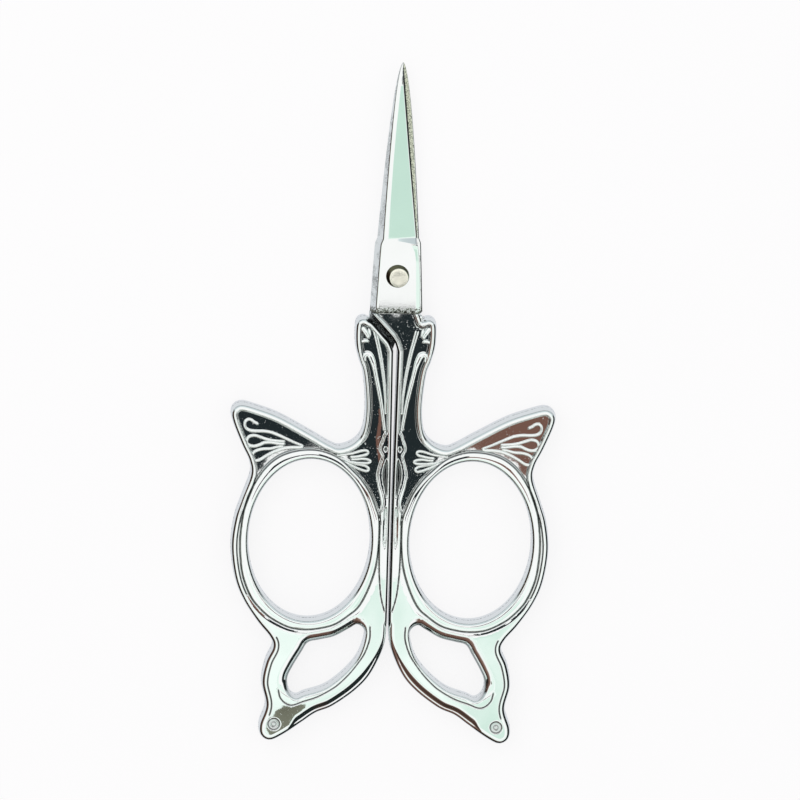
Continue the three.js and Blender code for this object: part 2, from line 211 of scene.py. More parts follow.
casting = {
    "thickness": 3.7,
    "wallTop": 0.8,  # where the edge starts to round, above the middle
    "wallLevels": [-0.42, -0.09, 0.0, 0.05, 0.42],
    "crossShade": 0.68,  # painted shade on the walls where the halves cross
    "floor": 1.35,  # sunk field
    "edgeRound": 0.5,
    "neckRound": 0.4,
    "shoulderRound": 0.08,  # more than on the neck
    "slitRound": 0.36,
    "holeRound": 0.52,
    "windowRound": 0.45,
    "windowTopRound": 0.72,
    "windowTop": ((3.2, -47), (0.67, 0.743), 0.3),  # a place, the way up, and how fast the bevel grows
    # painted shade along the window's upper side
    "windowShade": 0.55,
    "windowShadeReach": (0.42, 0.2),
    "windowBevel": 1.3,
    "windowBevelSlope": (0.34, 0.2),  # at its outer end, and how much it grows
    "tailRound": 0.6,
    "crestWidth": 0.14,
    "narrowerAtNeck": 0.6,
    "crestTilt": 0.13,
    "rimSlope": 0.2,
    "neckSlope": 0.42,
    "slitRim": 0.5,
    "slitTilt": 0.1,
    "fall": [(0, 0), (0.68, 0.34), (1, 1)],  # an easy slope, then a step
    "foot": (0.92, 3.6, 2.5),  # where the slope ends, and how its painted shade fades before and after
    # Painted shade at the feet of the slopes and beside the slit
    "footShade": 0.95,
    "footGain": 1.8,
    "slopeShade": (0.4, 0.3),
    "slitShade": (0.3, 0.12),
    "edgeProfile": [(0, 1), (0.2, 0.99), (0.35, 0.965), (0.75, 0.8), (0.86, 0.68), (0.95, 0.4), (1, 0)],
    "beadCrown": 0.1,
    "crownFade": 0.6,
    "ripple": 0.003,
    "rippleWaves": [(1.1, 0.7, 0), (1.7, -0.9, 2)],
    "rippleDrop": 1.8,
    "seam": 0.03,
    "ringCentre": (10.45, -35.2),
    "fingerHole": (7.9, 10.7),
    "slitTop": (0.26, -9.95),
    "slitRun": [(0.1, -28.5), (0.1, -46.3)],
    "outer": [
        (0.1, -46.3), (0.4, -49.29), (1.95, -52.89), (3.9, -55.2), (6.85, -57.4), (9, -58.34),
        (10.85, -59.66), (13.4, -61.4), (14.95, -62.05), (16.1, -61.4), (16.3, -59.9), (15.55, -57.3),
        (16.15, -54.3), (15.7, -51.55), (14.85, -49.5), (15.3, -48.16), (16.9, -46.22), (18.83, -43.3),
        (20.02, -40.3), (20.6, -36.2), (20.24, -32.6), (19.44, -30), (18.35, -26.7), (18.55, -24.8),
        (19.55, -22.7), (20.75, -19.8), (21, -18.4), (20.5, -17.6), (19.55, -17.3), (17.6, -17.8),
        (14.6, -18.9), (10.7, -21), (8.05, -22.5), (6.75, -22.85), (5.05, -22.1), (4, -20.5), (3.7, -17.3),
        (4.1, -13.1), (4.7, -11.2), (5.2, -9.1), (5.23, -6.6), (4.8, -5.8), (4.1, -5.6), (3.44, -5.89),
    ],
    "window": [
        (2.95, -47.52), (3.6, -50.29), (5.2, -52.6), (7.8, -54.8), (10.55, -55.8), (11.65, -56.24),
        (12.55, -55.43), (12.8, -53.81), (12.2, -52.3), (11.05, -50.26), (10.25, -49), (8.8, -48.6),
        (6.85, -48.1), (4.9, -47), (3.85, -46.48),
    ],
    "notch": [(3.44, -5.89), (2.9, -6.35), (1.65, -7.75), (0.75, -8.8), (0.26, -9.95)],
    "tongue": [(3.44, -5.89), (3.1, -4.95), (-3.35, -5), (-0.55, -8.1), (-0.1, -8.8), (0.26, -9.95)],
}

relief = {
    "beadLine": [
        (10.6, -23.15), (12.7, -23.4), (14.7, -24.2), (16.5, -25.8), (18.1, -28.4), (19.05, -31.3),
        (19.45, -35), (19.3, -38), (18.9, -40.3), (17.75, -43), (16.1, -44.9), (14.65, -45.95),
        (12.7, -46.85), (10.7, -47.1), (8.8, -46.9), (6.8, -46.3), (4.9, -44.95), (3.9, -44), (2.95, -42.25),
        (2.1, -39.9), (1.66, -37.9), (1.47, -35.9), (1.42, -33.9), (1.5, -32.2), (1.9, -30.9), (2.7, -28.9),
        (3.8, -27.2), (4.9, -26), (6.8, -24.3), (8.8, -23.4),
    ],
    "beadDepth": 0.14,
    "lineWidth": 0.13,
    "lineGain": 1.4,
    "creaseInset": 0.76,
    "creaseDepth": 0.13,
    "creases": [(-27, -42.5, 15), (-48.1, -58.6, 13)],  # top, foot and least distance aside
    "legDepth": 0.12,
    "legLine": [
        (1.42, -31.7), (1.42, -34), (1.4, -37), (1.3, -39.5), (1.1, -41.8), (0.85, -43.2), (0.5, -44.4),
    ],
    "channel": [
        (1.0, -47.1), (1.3, -48.6), (1.9, -50.3), (2.95, -52.4), (4.65, -54.3), (7.2, -56.2), (9.7, -57.5),
        (11.6, -58.7), (13.2, -59.9),
    ],
    "channelStart": 0.46,  # from the outer edge
    "channelWidth": 0.9,
    "channelDepth": 0.4,
    "channelLeast": 0.02,
    "channelReach": 2.5,
    "channelEnds": (0.4, 0.12),  # shares of its length
    "windowLine": [
        (2.3, -46.6), (2.3, -48.2), (2.9, -50.1), (3.9, -51.7), (4.9, -53), (5.9, -54.05), (6.85, -54.85),
        (8.8, -56), (10.75, -56.7), (12.1, -57.2), (13, -56.95), (13.7, -56.2), (13.95, -55.2),
    ],
    "windowGroove": (0.12, 0.13, 0.95),  # depth, width and painted shade
    "eye": (14.43, -59.75),
    "eyeRing": 0.74,
    "eyeDot": 0.3,
    "eyeDish": 0.09,
    # painted shade in the eye's dish
    "eyeShade": 0.22,
    "eyeEdge": 0.12,
    "eyeGroove": (0.1, 0.15, 0.85),
    "dotGroove": (0.06, 0.11, 0.7),
    "figure": [
        (0.75, -20.7), (1.05, -21.2), (1.17, -21.7), (1.45, -22.4), (1.5, -23.1), (1.17, -23.85),
        (1.45, -24.9), (1.74, -26.2), (1.7, -26.9), (1.47, -27.9), (1.17, -28.9), (0.98, -29.9),
        (1.12, -30.9), (1.4, -31.7), (1.45, -32.6),
    ],
    "figureEdge": (-0.22, 0.24),
    "figureBack": [(-1, -33), (-1, -20)],  # closes it past the slit
    "pockets": [
        [(0.92, -22.6), (1.12, -22.9), (0.92, -23.2), (0.74, -22.9)],
        [
            (0.72, -24.3), (1.0, -24.9), (1.2, -26), (1.15, -27), (0.95, -28), (0.6, -29.3), (0.55, -27),
            (0.58, -25.2),
        ],
        [
            (0.6, -30.6), (0.95, -31.3), (1.05, -32.4), (1.05, -34.4), (0.85, -35.6), (0.6, -35.8),
            (0.5, -34), (0.5, -32),
        ],
    ],
    "pocketDepth": (0.2, 0.4, 0.4),
    # painted shade in each pocket
    "pocketShade": (0.9, 0.8, 0.0),
    "pocketLean": (0, 0, 1),  # 1: deep on the slit side only
    "pocketSlope": (1.1, 0.6),
    "pocketEdge": (-0.06, 0.2),
}


# The casting is drawn as two faces over one outline. Where the halves cross, the upper layer reaches over as
# a tongue and the lower layer stops along a notch.
gap = 0.16
slitRun = evenly([casting["slitTop"], *casting["slitRun"]], gap)
outerRun = evenly(splineThrough(casting["outer"][:-1], 12), gap)
sharedRun = np.vstack([slitRun[:-1], outerRun, cornered(casting["outer"][-2:], gap)[1:]])
tongueRun = cornered(casting["tongue"], gap)
notchRun = evenly(splineThrough(casting["notch"], 8), gap)
holeLoop = ringOf(casting["ringCentre"], casting["fingerHole"], 360, way=-1)
windowLoop = evenly(splineThrough(casting["window"], 12, True), gap, True)[::-1]
if np.sum(np.cross(windowLoop, np.roll(windowLoop, -1, 0))) > 0:
    windowLoop = windowLoop[::-1]
beadLoop = splineThrough(relief["beadLine"], 8, True)
lineNames = ("figure", "legLine", "channel", "windowLine")
figureRun, legRun, channelRun, windowLineRun = (splineThrough(relief[name], 8) for name in lineNames)
pocketLoops = [splineThrough(p, 8, True) for p in relief["pockets"]]

fromHole = nearTo(holeLoop, True)
fromWindow = nearTo(windowLoop, True)
fromBead = nearTo(beadLoop, True)
fromFigure = nearTo(figureRun)
fromPockets = [nearTo(p, True) for p in pocketLoops]
fromLeg, fromChannel, fromWindowLine = nearTo(legRun), nearTo(channelRun), nearTo(windowLineRun)
outerEdges = {
    "upper": np.vstack([sharedRun[len(slitRun) - 1:], cornered(casting["tongue"][:2], gap)]),
    "lower": sharedRun[len(slitRun) - 1:],
}
slitEdges = {
    "upper": np.vstack([cornered(casting["tongue"][2:], gap), slitRun]),
    "lower": np.vstack([notchRun, slitRun]),
}
fromOuter = {k: nearTo(p) for k, p in outerEdges.items()}
fromSlit = {k: nearTo(p) for k, p in slitEdges.items()}


# Where the casting changes from one part to the next: a height, and over how much of it
zones = {
    "neck": (-22.5, 3),
    "shoulder": (-11, 2),
    "tail": (-44, -3),
    "neckField": (-32.4, 0.7),
    "wingField": (-28.6, 1.2),
    "neckSide": 6,
    "figureTop": -20.5,
    "footEnd": -33,
}


def inZone(y, name):
    return rise(y, *zones[name])


def between(low, high, share):
    return low + (high - low) * share


# How far the face has dropped from a crest toward the sunk field
def fall(t):
    return np.interp(t, *zip(*casting["fall"]))


# Height of a face above the middle of the casting, and the painted shade there, in its grooves, pockets and
# recesses
def castHeight(at, layer):
    c, r = casting, relief
    x, y = at.T
    outer, slit = fromOuter[layer](at)[0], fromSlit[layer](at)[0]
    hole, window = fromHole(at)[0], fromWindow(at)[0]
    beadOut = -within(at, beadLoop, fromBead)
    besideSlit = x < zones["neckSide"]
    atNeck = inZone(y, "neck") * besideSlit
    edgeRound = between(c["edgeRound"], c["neckRound"], atNeck) + c["shoulderRound"] * inZone(y, "shoulder")
    edgeRound = edgeRound + (c["tailRound"] - c["edgeRound"]) * inZone(y, "tail")
    crest = edgeRound + c["crestWidth"] * (1 - c["narrowerAtNeck"] * atNeck)
    slope = between(c["rimSlope"], c["neckSlope"], atNeck)
    steps = [(outer - crest) / slope, (slit - c["slitRim"]) / c["rimSlope"], beadOut / c["rimSlope"]]
    figure = within(at, np.vstack([figureRun, r["figureBack"]]), fromFigure)
    fieldEnd = np.where(besideSlit, inZone(y, "neckField"), inZone(y, "wingField"))
    field = fall(steps[0]) * fall(steps[1]) * fall(steps[2]) * fieldEnd
    field *= 1 - rise(figure, *r["figureEdge"]) * (y < zones["figureTop"])
    half = c["thickness"] / 2
    height = half - (half - c["floor"]) * field
    crestDrop = c["crestTilt"] * np.maximum(0, crest - outer)
    height -= crestDrop + c["slitTilt"] * np.maximum(0, c["slitRim"] - slit)
    waves = sum(np.sin(alongX * x + alongY * y + start) for alongX, alongY, start in c["rippleWaves"])
    height += c["ripple"] * (waves - c["rippleDrop"])
    across = 2 * hole / np.maximum(hole - beadOut, 0.1) - 1
    crown = np.where(beadOut < 0, across * across, 1 - soft(beadOut / c["crownFade"]))
    height -= c["beadCrown"] * crown * (1 - field)
    footAt, before, after = c["foot"]
    foot = np.maximum.reduce([1 - np.abs(t - footAt) * np.where(t < footAt, before, after) for t in steps])
    onSlope = rise(np.minimum.reduce(steps), *c["slopeShade"])
    # Painted shade at the feet of the slopes, where the field meets the rims
    paintedShade = c["footShade"] * soft(c["footGain"] * foot) * onSlope * (y > zones["footEnd"])

    def darken(shade):
        nonlocal paintedShade
        paintedShade = np.maximum(paintedShade, shade)

    # A groove cut into the face, with painted shade along it
    def groove(distance, depth, width=r["lineWidth"], shade=1.0):
        nonlocal height
        sharp = np.maximum(0, 1 - np.abs(distance) / width)
        height = height - depth * sharp
        darken(shade * soft(r["lineGain"] * sharp))

    # Painted shade beside the slit
    darken(c["footShade"] * fade(slit, *c["slitShade"]))
    plain = 1 - field
    groove(beadOut, r["beadDepth"] * plain, shade=plain)
    crease = sum((y < top) & (y > foot) & (x > inner) for top, foot, inner in r["creases"])
    groove(outer - r["creaseInset"], r["creaseDepth"] * crease, shade=crease)
    groove(fromLeg(at)[0], r["legDepth"])
    distance, share = fromChannel(at)
    opening, closing = r["channelEnds"]
    run = rise(share, 0, opening) * fade(share, 1, closing)
    run = np.maximum(r["channelLeast"], run) * (distance < r["channelReach"])
    inward = (outer - r["channelStart"]) / (r["channelWidth"] * np.maximum(run, r["channelLeast"]))
    height -= r["channelDepth"] * run * (1 - soft(inward))
    groove(fromWindowLine(at)[0], *r["windowGroove"])
    eye = np.hypot(x - r["eye"][0], y - r["eye"][1])
    inEye = fade(eye, r["eyeRing"], r["eyeEdge"])
    # The eye's dish is sunk, with painted shade in it
    height -= r["eyeDish"] * inEye
    darken(r["eyeShade"] * inEye)
    groove(eye - r["eyeRing"], *r["eyeGroove"])
    groove(eye - r["eyeDot"], *r["dotGroove"])
    # The figure's pockets are sunk, with painted shade in them
    leanEnd, leanOver = r["pocketSlope"]
    settings = (r[k] for k in ("pocketDepth", "pocketShade", "pocketLean"))
    for loop, measure, depth, shade, lean in zip(pocketLoops, fromPockets, *settings):
        sunk = rise(within(at, loop, measure), *r["pocketEdge"])
        height -= depth * sunk * (1 - lean + lean * np.clip((leanEnd - x) / leanOver, 0, 1))
        darken(shade * sunk)
    # Painted shade along the window's upper side, where its bevel grows
    (placeX, placeY), (wayX, wayY), growth = c["windowTop"]
    windowSide = soft(0.5 + growth * (wayX * (x - placeX) + wayY * (y - placeY)))
    darken(c["windowShade"] * windowSide * fade(window, *c["windowShadeReach"]))
    bevel = np.maximum(0, c["windowBevel"] * windowSide - window)
    slope, growth = c["windowBevelSlope"]
    height -= slope * bevel + growth * bevel * bevel / c["windowBevel"]
    windowRound = between(c["windowRound"], c["windowTopRound"], windowSide)
    rounds = ((outer, edgeRound), (slit, c["slitRound"]), (hole, c["holeRound"]), (window, windowRound))
    for distance, reach in rounds:
        inward = 1 - np.clip(distance / reach, 0, 1)
        height = c["wallTop"] + (height - c["wallTop"]) * np.interp(inward, *zip(*c["edgeProfile"]))
    return height, paintedShade


def bothSides(rows):
    return [-r for r in rows[::-1]] + [0] + rows


meshing = {
    "edgeRows": [
        0.012, 0.04, 0.085, 0.14, 0.205, 0.28, 0.35, 0.42, 0.49, 0.56, 0.63, 0.7, 0.77, 0.84, 0.91, 0.98,
        1.05, 1.13, 1.21, 1.29, 1.37,
    ],
    "lineRows": bothSides([0.065, 0.13, 0.2]),
    "slopeRows": bothSides([0.07, 0.14, 0.22, 0.3, 0.38, 0.46]),
    "crossRows": (-5.02, -5.12, -5.3),
    "lineGap": 0.14,
    "lineClear": (0.08, 0.045),  # from the edges, and from the edges' rows
    "combStep": 0.26,
    "combArea": ((-4, 22), (-62.5, -4.5)),
    "combClear": 0.13,
}


# Points spread over a face: rows beside every edge and line, and an open honeycomb between them
def facePoints(layer):
    m = meshing
    loop = np.vstack([sharedRun, (tongueRun if layer == "upper" else notchRun)[1:-1]])
    edges = (fromOuter[layer], fromSlit[layer], fromHole, fromWindow)

    def clear(at):
        return np.minimum.reduce([measure(at)[0] for measure in edges])

    def onCast(at):
        return inside(at, loop) & ~inside(at, holeLoop) & ~inside(at, windowLoop)

    chosen = []
    for row in m["edgeRows"]:
        at = np.vstack([sideways(p, row, True) for p in (loop, holeLoop, windowLoop)])
        at = at[onCast(at)]
        chosen.append(at[clear(at) > row * 0.985])
    crossing = [(x, y) for y in m["crossRows"] for x in np.arange(-3, 3, gap)] if layer == "upper" else []
    chosen.append(np.reshape(crossing, (-1, 2)))
    rowTree = treeOf(np.vstack(chosen))
    lines = [
        (beadLoop, True, m["slopeRows"]),
        (legRun, False, m["lineRows"]),
        (channelRun, False, [r * 1.2 for r in m["slopeRows"]]),
        (windowLineRun, False, m["lineRows"]),
        (figureRun, False, m["slopeRows"]),
        *[(p, True, m["slopeRows"]) for p in pocketLoops],
        (ringOf(relief["eye"], relief["eyeRing"]), True, m["slopeRows"]),
        (ringOf(relief["eye"], relief["eyeDot"]), True, m["lineRows"][1:-1]),
    ]
    features = []
    for points, closed, rows in lines:
        base = evenly(points, m["lineGap"], closed)
        features += [sideways(base, r, closed) for r in rows]
    features = np.vstack(features)
    features = features[onCast(features)]
    fromEdge, fromRow = m["lineClear"]
    features = features[(clear(features) > fromEdge) & (apart(features, rowTree) > fromRow)]
    chosen.append(features)
    crowded = treeOf(np.vstack(chosen))
    step, (acrossArea, alongArea) = m["combStep"], m["combArea"]
    xs, ys = np.meshgrid(np.arange(*acrossArea, step), np.arange(*alongArea, step * 0.866))
    xs[1::2] += step / 2
    comb = np.column_stack([xs.ravel(), ys.ravel()])
    comb = comb[onCast(comb)]
    comb = comb[apart(comb, crowded) > m["combClear"]]
    return np.vstack([*chosen, comb]), loop, onCast


# Triangles over points, held to the given loops
def triangles(points, loops, keep):
    edges, start = [], 0
    for loop in loops:
        n = len(loop)
        edges += [(start + i, start + (i + 1) % n) for i in range(n)]
        start += n
    cdt = geometry.delaunay_2d_cdt([Vector(p) for p in points], edges, [], 0, 1e-6)
    at = np.array([(p.x, p.y) for p in cdt[0]])
    faces = np.array([f for f in cdt[2] if len(f) == 3])
    faces = faces[keep(at[faces].mean(1))]
    place = np.full(len(points), -1)
    for i, sources in enumerate(cdt[3]):
        for source in sources:
            place[source] = i
    a, b, c = (at[faces[:, k]] for k in range(3))
    clockwise = np.cross(b - a, c - a) < 0
    faces[clockwise] = faces[clockwise][:, ::-1]
    return at, faces, place


def castShell():
    verts, shades, faces, edgeIndex = [], [], [], {}

    def add(points, shade=None):
        start = sum(len(v) for v in verts)
        verts.append(np.array(points, float))
        shades.append(np.zeros(len(points)) if shade is None else shade)
        return np.arange(start, start + len(points))

    for layer in ("upper", "lower"):
        points, loop, keep = facePoints(layer)
        loops = [loop, holeLoop, windowLoop]
        at, tris, place = triangles(np.vstack([*loops, points]), loops, keep)
        height, paintedShade = castHeight(at, layer)
        index = add(np.column_stack([at, height if layer == "upper" else -height]), paintedShade)
        faces += list(index[tris] if layer == "upper" else index[tris][:, ::-1])
        edge = index[place[: sum(len(p) for p in loops)]]
        n, s = len(loop), len(sharedRun)
        edgeIndex[layer] = {
            "shared": edge[:s],
            "cross": np.concatenate([[edge[s - 1]], edge[s:n], [edge[0]]]),
            "hole": edge[n:n + len(holeLoop)],
            "window": edge[n + len(holeLoop):],
        }
        print("cast face", layer, len(at), "points")

    def bands(rows, closed):
        n = len(rows[0])
        for low, high in zip(rows, rows[1:]):
            for i in range(n if closed else n - 1):
                j = (i + 1) % n
                faces.append((low[i], low[j], high[j], high[i]))

    levels = casting["wallLevels"]
    middle = levels.index(0)
    walls = (("shared", sharedRun, False), ("hole", holeLoop, True), ("window", windowLoop, True))
    for name, run, closed in walls:
        rows = [edgeIndex["lower"][name]]
        for level in levels:
            ridge = run if level else sideways(run, -casting["seam"], closed)
            rows.append(add(np.column_stack([ridge, np.full(len(run), level)])))
        rows.append(edgeIndex["upper"][name])
        bands(rows, closed)
        if name == "shared":
            sharedRows = rows
    # The crossing walls of the two layers meet at the level just above the middle
    walls = (("upper", tongueRun, levels[middle + 1:]), ("lower", notchRun, levels[:middle + 2]))
    crossing = {}
    for layer, run, wall in walls:
        rows = []
        for level in wall:
            shared = sharedRows[1 + levels.index(level)]
            n = len(run) - 2
            # These walls get painted shade
            new = add(np.column_stack([run[1:-1], np.full(n, level)]), np.full(n, casting["crossShade"]))
            rows.append(np.concatenate([[shared[-1]], new, [shared[0]]]))
        crossing[layer] = rows[0] if layer == "upper" else rows[-1]
        cross = edgeIndex[layer]["cross"]
        bands([*rows, cross] if layer == "upper" else [cross, *rows], False)
    under = np.vstack([tongueRun, notchRun[-2:0:-1]])
    at, tris, place = triangles(under, [under], lambda points: inside(points, under))
    back = np.zeros(len(at), int)
    back[place] = np.concatenate([crossing["upper"], crossing["lower"][-2:0:-1]])
    faces += list(back[tris][:, ::-1])
    return np.vstack(verts), faces, np.concatenate(shades)


# Small helpers: one adds a node, sets its plain inputs and wires the others, the rest give its result
def node(tree, kind, props=None, **inputs):
    made = tree.nodes.new(kind)
    for key, value in (props or {}).items():
        setattr(made, key, value)
    for key, value in inputs.items():
        socket = made.inputs[int(key[1:])] if key[1:].isdigit() else made.inputs[key.replace("_", " ")]
        if isinstance(value, bpy.types.NodeSocket):
            tree.links.new(value, socket)
        else:
            socket.default_value = (*value, 1) if socket.type == "RGBA" else value
    return made


def maths(tree, operation, *values):
    inputs = {"i%d" % i: value for i, value in enumerate(values)}
    return node(tree, "ShaderNodeMath", {"operation": operation}, **inputs).outputs[0]


def mixed(tree, share, low, high):
    return node(tree, "ShaderNodeMix", {"data_type": "RGBA"}, i0=share, i6=low, i7=high).outputs[2]


def ramp(tree, value, stops):
    made = node(tree, "ShaderNodeValToRGB", i0=value)
    marks = made.color_ramp.elements
    while len(marks) < len(stops):
        marks.new(0.5)
    for mark, (at, shade) in zip(marks, stops):
        mark.position = at
        mark.color = (*shade, 1) if isinstance(shade, tuple) else (shade, shade, shade, 1)
    return made.outputs["Color"]


# From none below the low limit to all above the high one
def limited(tree, value, low, high):
    return ramp(tree, value, [(low, 0), (high, 1)])


def noise(tree, place, scale, detail, roughness=0.5):
    made = node(tree, "ShaderNodeTexNoise", Vector=place, Scale=scale, Detail=detail, Roughness=roughness)
    return made.outputs[0]


def bump(tree, height, strength, distance, **under):
    made = node(tree, "ShaderNodeBump", Strength=strength, Distance=distance, Height=height, **under)
    return made.outputs[0]


# Ribs stand on the sunk field, each swept along a run of points
ribs = {
    "width": 0.38,
    "height": 0.3,
    "sides": 16,
    "roofSlope": 0.24,
    "sideSlope": 2.3,
    "tallest": 0.7,
    "sink": 0.02,  # into the field
    "neckGap": 0.16,
    "scales": {
        "neck": (0.6, 0.62, 0.6, 0.6),
        "neckTop": (1.4, 1.2, 1.0),
        "hook": (1.4, 1.7, 2.1, 1.9, 1.5, 1.4, 1.4, 1.35, 1.3, 1.2, 1.2, 1.15, 1.1, 1.1),
        "shoulder": (1.6, 1.7, 1.2),
        "shoulderSmall": (0.7, 0.9, 0.6),
        "lens": (0.6, 1.3, 0.9),
        "figure": (0.7, 1.0, 1.0, 1.1, 1.3, 1.4, 1.2, 0.8, 1.0),
        "head": (0.5, 0.5),
        "petals": (0.7, 0.9, 0.95, 0.95, 1.0, 0.9),
        "buds": (0.65, 0.8, 0.85, 0.85),
    },
    "head": (0.92, -23.05),
    "headSize": (0.24, 0.34),
    "neck": [
        (2.75, -7.2), (2.55, -8), (2.3, -9), (2.05, -10), (1.85, -11), (1.67, -12), (1.5, -13), (1.36, -14),
        (1.24, -15), (1.14, -16), (1.07, -17), (1.03, -18.4),
    ],
    "neckTop": [(3.12, -5.1), (3.2, -5.9), (3.05, -6.6)],
    "hook": [
        (3.98, -11.5), (4.05, -10.8), (3.75, -10.35), (3.3, -10.5), (3.02, -11), (2.82, -11.6), (2.57, -12.6),
        (2.36, -13.6), (2.13, -14.6), (1.92, -15.6), (1.72, -16.6), (1.55, -17.6), (1.4, -18.6),
        (1.25, -19.6), (1.12, -20.6),
    ],
    "shoulder": [(4.5, -6.75), (4.1, -7.2), (3.75, -7.75), (3.5, -8.35)],
    "shoulderSmall": [(3.55, -6.9), (3.4, -7.5), (3.3, -8.1)],
    "lens": [(3.4, -8.8), (3.9, -8.6), (4.65, -8.8)],
    "figure": [
        (0.95, -20.9), (1.1, -21.5), (1.22, -22.1), (1.45, -22.6), (1.52, -23.2), (1.35, -23.75),
        (1.15, -24.2), (1.3, -24.9), (1.55, -25.6), (1.7, -26.4), (1.7, -27), (1.58, -27.8), (1.4, -28.6),
        (1.22, -29.4), (1.12, -30.2), (1.2, -31), (1.38, -31.8), (1.5, -32.6),
    ],
    "petals": [
        [
            (11.5, -22.75), (12.7, -22.3), (13.7, -21.85), (14.7, -21.4), (15.7, -21.02), (16.7, -20.85),
            (17.7, -20.85), (18.5, -20.78), (19, -20.5), (19.2, -20.1), (19.15, -19.6), (18.8, -19.32),
            (18.4, -19.37), (18, -19.65), (17.4, -19.95),
        ],
        [
            (13.9, -22.15), (15.2, -22.1), (16.2, -21.95), (17, -21.7), (17.8, -21.45), (18.4, -21.5),
            (18.8, -21.8), (18.9, -22.3), (18.7, -22.65), (18.3, -22.85), (17.8, -22.85), (17.2, -22.65),
            (16.6, -22.37), (15.8, -22.32), (14.8, -22.45), (13.9, -22.5),
        ],
        [
            (14.1, -22.75), (15, -22.95), (15.8, -23.15), (16.6, -23.2), (17.2, -23.3), (17.8, -23.55),
            (18.15, -23.95), (18.15, -24.4), (17.9, -24.75), (17.4, -24.75), (16.9, -24.5), (16.3, -24.1),
            (15.6, -23.7), (14.8, -23.35), (14, -23.08), (13, -22.95), (12.1, -22.93), (11.5, -22.78),
        ],
    ],
    "buds": [
        [
            (7.4, -23.95), (6.2, -23.75), (5.4, -23.65), (4.7, -23.45), (4, -23.25), (3.4, -23.2),
            (3.15, -23.45), (3.4, -23.75), (4, -23.9), (4.7, -24.05), (5.5, -24.1),
        ],
        [
            (5.4, -24.4), (4.6, -24.38), (3.9, -24.3), (3.2, -24.38), (2.82, -24.62), (3.15, -24.86),
            (3.9, -24.88), (4.7, -24.85), (5.4, -24.7),
        ],
        [
            (7.2, -24.1), (6.4, -24.35), (5.5, -24.75), (4.8, -24.97), (4, -25.12), (3.35, -25.3),
            (3.02, -25.65), (3.3, -25.93), (4, -25.76), (4.7, -25.48), (5.4, -25.15), (6, -24.85),
            (6.8, -24.45), (7.3, -24.25),
        ],
    ],
}


# Geometry Nodes: a bead swept along each run, its size scaled by the attribute ribScale
def ribTree(material):
    tree = bpy.data.node_groups.new("castRib", "GeometryNodeTree")
    face = tree.interface
    face.new_socket("Geometry", in_out="INPUT", socket_type="NodeSocketGeometry")
    for label in ("Rib width", "Rib height"):
        face.new_socket(label, in_out="INPUT", socket_type="NodeSocketFloat")
    face.new_socket("Geometry", in_out="OUTPUT", socket_type="NodeSocketGeometry")
    start = node(tree, "NodeGroupInput")
    curve = node(tree, "GeometryNodeMeshToCurve", i0=start.outputs[0])
    upright = node(tree, "GeometryNodeSetCurveNormal", {"mode": "Z_UP"}, Curve=curve.outputs[0])
    ribScale = node(tree, "GeometryNodeInputNamedAttribute", {"data_type": "FLOAT"}, Name="ribScale")
    profile = node(tree, "GeometryNodeCurvePrimitiveCircle", Resolution=ribs["sides"], Radius=1)
    # The round profile becomes a low roof with steep sides
    parts = node(tree, "ShaderNodeSeparateXYZ", i0=node(tree, "GeometryNodeInputPosition").outputs[0])
    slope = maths(tree, "MULTIPLY_ADD", maths(tree, "ABSOLUTE", parts.outputs[0]), -ribs["roofSlope"], 1)
    steep = maths(tree, "MULTIPLY", parts.outputs[1], ribs["sideSlope"])
    held = node(tree, "ShaderNodeClamp", Value=steep, Min=-1)
    height = maths(tree, "MULTIPLY", slope, held.outputs[0])
    joined = node(tree, "ShaderNodeCombineXYZ", i0=parts.outputs[0], i1=height)
    circle = profile.outputs["Curve"]
    roof = node(tree, "GeometryNodeSetPosition", Geometry=circle, Position=joined.outputs[0])
    halfWidth = maths(tree, "MULTIPLY", start.outputs["Rib width"], 0.5)
    size = node(tree, "ShaderNodeCombineXYZ", i0=halfWidth, i1=start.outputs["Rib height"], i2=1)
    shape = node(tree, "GeometryNodeTransform", Geometry=roof.outputs[0], Scale=size.outputs[0])
    sweep = node(
        tree, "GeometryNodeCurveToMesh", Curve=upright.outputs[0], Profile_Curve=shape.outputs[0],
        Scale=ribScale.outputs[0], Fill_Caps=True,
    )
    real = node(tree, "GeometryNodeRealizeInstances", i0=sweep.outputs[0])
    finish = node(tree, "GeometryNodeSetMaterial", Geometry=real.outputs[0], Material=material)
    node(tree, "NodeGroupOutput", i0=finish.outputs[0])
    return tree


# Runs of one face: points, and width scales spread along the run
def ribRuns(layer):
    neck = splineThrough(ribs["neck"], 8)
    taper = np.linspace(1, 0.25, len(neck))[:, None]
    aside = sideways(neck, ribs["neckGap"]) - neck
    runs = [("neck", neck + aside * taper), ("neck", neck - aside * taper)]
    names = ("hook", "shoulder", "shoulderSmall", "lens", "figure")
    runs += [(name, ribs[name]) for name in (("neckTop",) if layer == "upper" else ()) + names]
    turn = np.linspace(0.6, 0.6 + 2 * np.pi, 14)
    acrossHead, alongHead = ribs["headSize"]
    head = np.array(ribs["head"]) + np.column_stack([acrossHead * np.cos(turn), alongHead * np.sin(turn)])
    runs.append(("head", head))
    runs += [(name, points) for name in ("petals", "buds") for points in ribs[name]]
    return [(points, ribs["scales"][name]) for name, points in runs]


